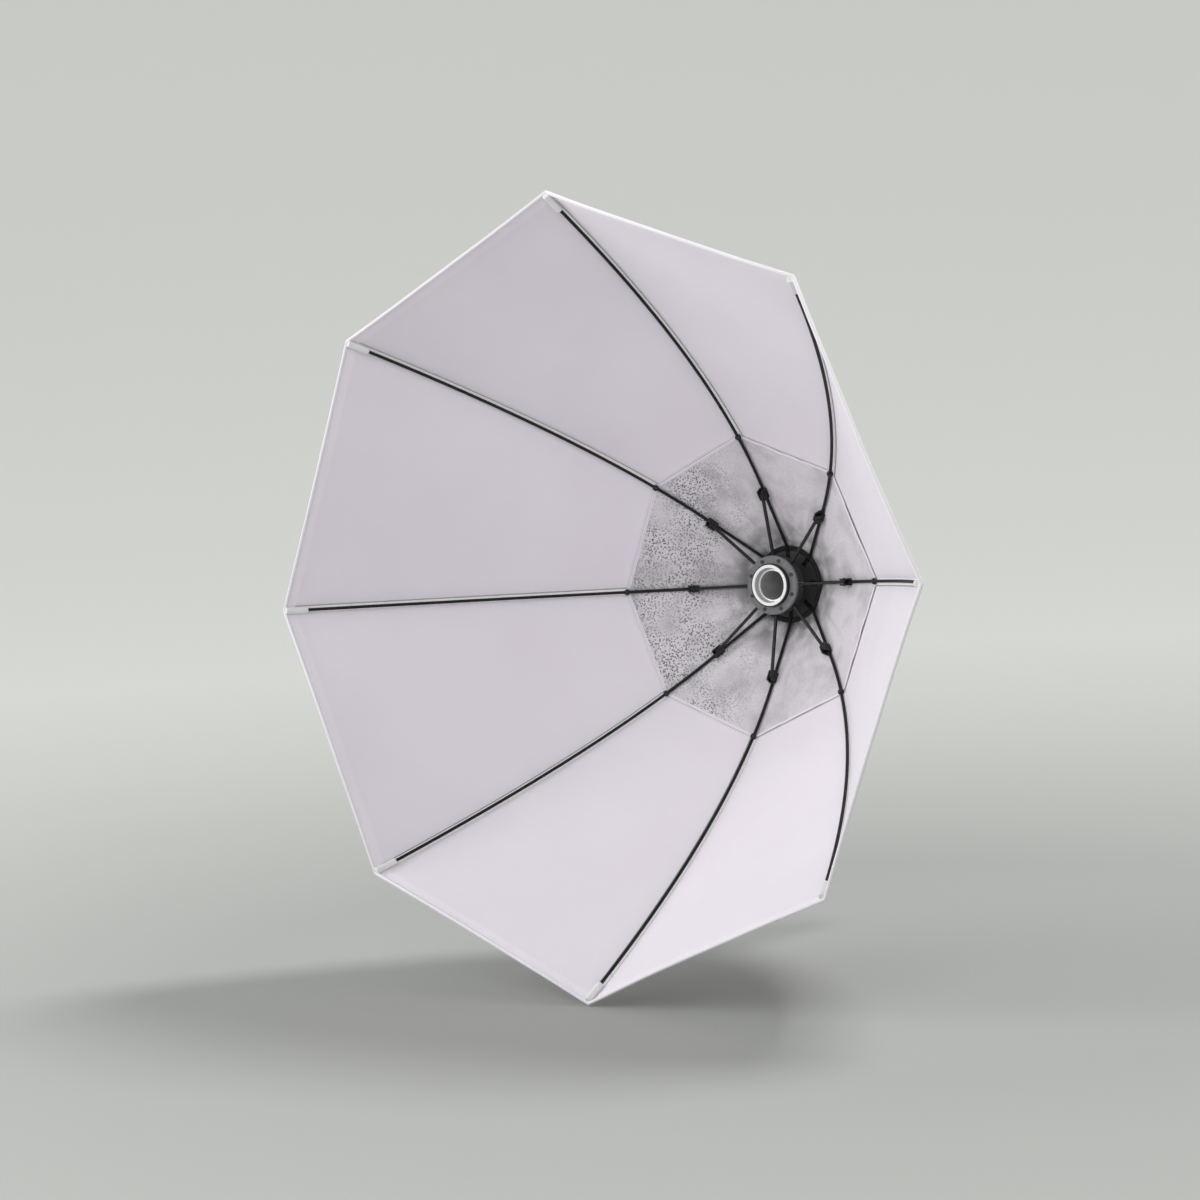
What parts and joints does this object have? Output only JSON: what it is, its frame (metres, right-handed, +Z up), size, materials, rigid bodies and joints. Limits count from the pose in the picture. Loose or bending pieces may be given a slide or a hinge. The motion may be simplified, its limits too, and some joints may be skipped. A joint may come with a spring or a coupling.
{
  "type": "umbrella reflector",
  "caption": "Deep white studio umbrella with an octagonal canopy on curved ribs, folding on a centre tube with a wide bore.",
  "frame": {"origin": "on the umbrella's axis, at the front end of the centre tube's bore", "axes": "+Y along the axis towards the rear, the opening faces -Y, +Z up along the first rib"},
  "size_m": [0.7074, 0.5124, 0.7074],
  "materials": {
    "tube": "satin anodised",
    "bright_ring": "turned, bright",
    "hub_plastic": "moulded, fine grain",
    "hub_plate": "moulded, satin grey",
    "dark_screw": "black oxide",
    "pin_steel": "drawn wire",
    "knob_plastic": "moulded, fluted",
    "rib_steel": "black paint, satin",
    "bracket_plastic": "moulded",
    "cap_white": "white, satin",
    "canopy_fabric": "white coated nylon",
    "lining_fabric": "white fine mesh, crinkled"
  },
  "bodies": {
    "root": {"centre_tube": "tube", "mouth_ring": "bright_ring", "runner": "hub_plastic", "runner_plate": "hub_plate", "plate_screws": "dark_screw", "stretcher_pins": "pin_steel", "rear_collar": "hub_plastic"},
    "crown": {"crown": "hub_plastic", "crown_cap": "hub_plastic", "crown_screws": "dark_screw"},
    "crown_lock": {"crown_lock_screw": "knob_plastic"},
    "rod_clamp": {"rod_clamp_screw": "knob_plastic"},
    "stretcher_1": {"stretcher_1": "rib_steel"},
    "rib_1": {"rib_1": "rib_steel", "rib_bracket_1": "bracket_plastic", "tip_cap_1": "cap_white", "gore_1": "canopy_fabric", "lining_1": "lining_fabric"},
    "stretcher_2": {"stretcher_2": "rib_steel"},
    "rib_2": {"rib_2": "rib_steel", "rib_bracket_2": "bracket_plastic", "tip_cap_2": "cap_white", "gore_2": "canopy_fabric", "lining_2": "lining_fabric"},
    "stretcher_3": {"stretcher_3": "rib_steel"},
    "rib_3": {"rib_3": "rib_steel", "rib_bracket_3": "bracket_plastic", "tip_cap_3": "cap_white", "gore_3": "canopy_fabric", "lining_3": "lining_fabric"},
    "stretcher_4": {"stretcher_4": "rib_steel"},
    "rib_4": {"rib_4": "rib_steel", "rib_bracket_4": "bracket_plastic", "tip_cap_4": "cap_white", "gore_4": "canopy_fabric", "lining_4": "lining_fabric"},
    "stretcher_5": {"stretcher_5": "rib_steel"},
    "rib_5": {"rib_5": "rib_steel", "rib_bracket_5": "bracket_plastic", "tip_cap_5": "cap_white", "gore_5": "canopy_fabric", "lining_5": "lining_fabric"},
    "stretcher_6": {"stretcher_6": "rib_steel"},
    "rib_6": {"rib_6": "rib_steel", "rib_bracket_6": "bracket_plastic", "tip_cap_6": "cap_white", "gore_6": "canopy_fabric", "lining_6": "lining_fabric"},
    "stretcher_7": {"stretcher_7": "rib_steel"},
    "rib_7": {"rib_7": "rib_steel", "rib_bracket_7": "bracket_plastic", "tip_cap_7": "cap_white", "gore_7": "canopy_fabric", "lining_7": "lining_fabric"},
    "stretcher_8": {"stretcher_8": "rib_steel"},
    "rib_8": {"rib_8": "rib_steel", "rib_bracket_8": "bracket_plastic", "tip_cap_8": "cap_white", "gore_8": "canopy_fabric", "lining_8": "lining_fabric"}
  },
  "joints": [
    {"name": "crown_slide", "type": "slide", "parent": "root", "child": "crown", "axis": [0, 1, 0], "range_m": [0, 0.10607]},
    {"name": "crown_lock_turn", "type": "hinge", "parent": "crown", "child": "crown_lock", "pos_m": [0, 0.06195, 0.03], "axis": [0, 0, 1], "range_deg": [0, 360]},
    {"name": "rod_clamp_turn", "type": "hinge", "parent": "root", "child": "rod_clamp", "pos_m": [0, 0.18477, 0.03], "axis": [0, 0, 1], "range_deg": [0, 360]},
    {"name": "stretcher_swing_1", "type": "hinge", "parent": "root", "child": "stretcher_1", "pos_m": [0, 0.0048, 0.025], "axis": [-1, 0, 0], "range_deg": [0, 86.65]},
    {"name": "rib_fold_1", "type": "hinge", "parent": "stretcher_1", "child": "rib_1", "pos_m": [0, -0.00958, 0.08835], "axis": [-1, 0, 0], "range_deg": [-128.11, 0], "deforming": ["gore_1", "lining_1"]},
    {"name": "stretcher_swing_2", "type": "hinge", "parent": "root", "child": "stretcher_2", "pos_m": [-0.01768, 0.0048, 0.01768], "axis": [-0.7071, 0, -0.7071], "range_deg": [0, 86.65]},
    {"name": "rib_fold_2", "type": "hinge", "parent": "stretcher_2", "child": "rib_2", "pos_m": [-0.06247, -0.00958, 0.06247], "axis": [-0.7071, 0, -0.7071], "range_deg": [-128.11, 0], "deforming": ["gore_2", "lining_2"]},
    {"name": "stretcher_swing_3", "type": "hinge", "parent": "root", "child": "stretcher_3", "pos_m": [-0.025, 0.0048, 0], "axis": [0, 0, -1], "range_deg": [0, 86.65]},
    {"name": "rib_fold_3", "type": "hinge", "parent": "stretcher_3", "child": "rib_3", "pos_m": [-0.08835, -0.00958, 0], "axis": [0, 0, -1], "range_deg": [-128.11, 0], "deforming": ["gore_3", "lining_3"]},
    {"name": "stretcher_swing_4", "type": "hinge", "parent": "root", "child": "stretcher_4", "pos_m": [-0.01768, 0.0048, -0.01768], "axis": [0.7071, 0, -0.7071], "range_deg": [0, 86.65]},
    {"name": "rib_fold_4", "type": "hinge", "parent": "stretcher_4", "child": "rib_4", "pos_m": [-0.06247, -0.00958, -0.06247], "axis": [0.7071, 0, -0.7071], "range_deg": [-128.11, 0], "deforming": ["gore_4", "lining_4"]},
    {"name": "stretcher_swing_5", "type": "hinge", "parent": "root", "child": "stretcher_5", "pos_m": [0, 0.0048, -0.025], "axis": [1, 0, 0], "range_deg": [0, 86.65]},
    {"name": "rib_fold_5", "type": "hinge", "parent": "stretcher_5", "child": "rib_5", "pos_m": [0, -0.00958, -0.08835], "axis": [1, 0, 0], "range_deg": [-128.11, 0], "deforming": ["gore_5", "lining_5"]},
    {"name": "stretcher_swing_6", "type": "hinge", "parent": "root", "child": "stretcher_6", "pos_m": [0.01768, 0.0048, -0.01768], "axis": [0.7071, 0, 0.7071], "range_deg": [0, 86.65]},
    {"name": "rib_fold_6", "type": "hinge", "parent": "stretcher_6", "child": "rib_6", "pos_m": [0.06247, -0.00958, -0.06247], "axis": [0.7071, 0, 0.7071], "range_deg": [-128.11, 0], "deforming": ["gore_6", "lining_6"]},
    {"name": "stretcher_swing_7", "type": "hinge", "parent": "root", "child": "stretcher_7", "pos_m": [0.025, 0.0048, 0], "axis": [0, 0, 1], "range_deg": [0, 86.65]},
    {"name": "rib_fold_7", "type": "hinge", "parent": "stretcher_7", "child": "rib_7", "pos_m": [0.08835, -0.00958, 0], "axis": [0, 0, 1], "range_deg": [-128.11, 0], "deforming": ["gore_7", "lining_7"]},
    {"name": "stretcher_swing_8", "type": "hinge", "parent": "root", "child": "stretcher_8", "pos_m": [0.01768, 0.0048, 0.01768], "axis": [-0.7071, 0, 0.7071], "range_deg": [0, 86.65]},
    {"name": "rib_fold_8", "type": "hinge", "parent": "stretcher_8", "child": "rib_8", "pos_m": [0.06247, -0.00958, 0.06247], "axis": [-0.7071, 0, 0.7071], "range_deg": [-128.11, 0], "deforming": ["gore_8", "lining_8"]}
  ],
  "couplings": [
    {"joint": "stretcher_swing_1", "follows": "crown_slide", "rad_per_m": 14.255},
    {"joint": "rib_fold_1", "follows": "crown_slide", "rad_per_m": -21.078},
    {"joint": "stretcher_swing_2", "follows": "crown_slide", "rad_per_m": 14.255},
    {"joint": "rib_fold_2", "follows": "crown_slide", "rad_per_m": -21.078},
    {"joint": "stretcher_swing_3", "follows": "crown_slide", "rad_per_m": 14.255},
    {"joint": "rib_fold_3", "follows": "crown_slide", "rad_per_m": -21.078},
    {"joint": "stretcher_swing_4", "follows": "crown_slide", "rad_per_m": 14.255},
    {"joint": "rib_fold_4", "follows": "crown_slide", "rad_per_m": -21.078},
    {"joint": "stretcher_swing_5", "follows": "crown_slide", "rad_per_m": 14.255},
    {"joint": "rib_fold_5", "follows": "crown_slide", "rad_per_m": -21.078},
    {"joint": "stretcher_swing_6", "follows": "crown_slide", "rad_per_m": 14.255},
    {"joint": "rib_fold_6", "follows": "crown_slide", "rad_per_m": -21.078},
    {"joint": "stretcher_swing_7", "follows": "crown_slide", "rad_per_m": 14.255},
    {"joint": "rib_fold_7", "follows": "crown_slide", "rad_per_m": -21.078},
    {"joint": "stretcher_swing_8", "follows": "crown_slide", "rad_per_m": 14.255},
    {"joint": "rib_fold_8", "follows": "crown_slide", "rad_per_m": -21.078}
  ]
}
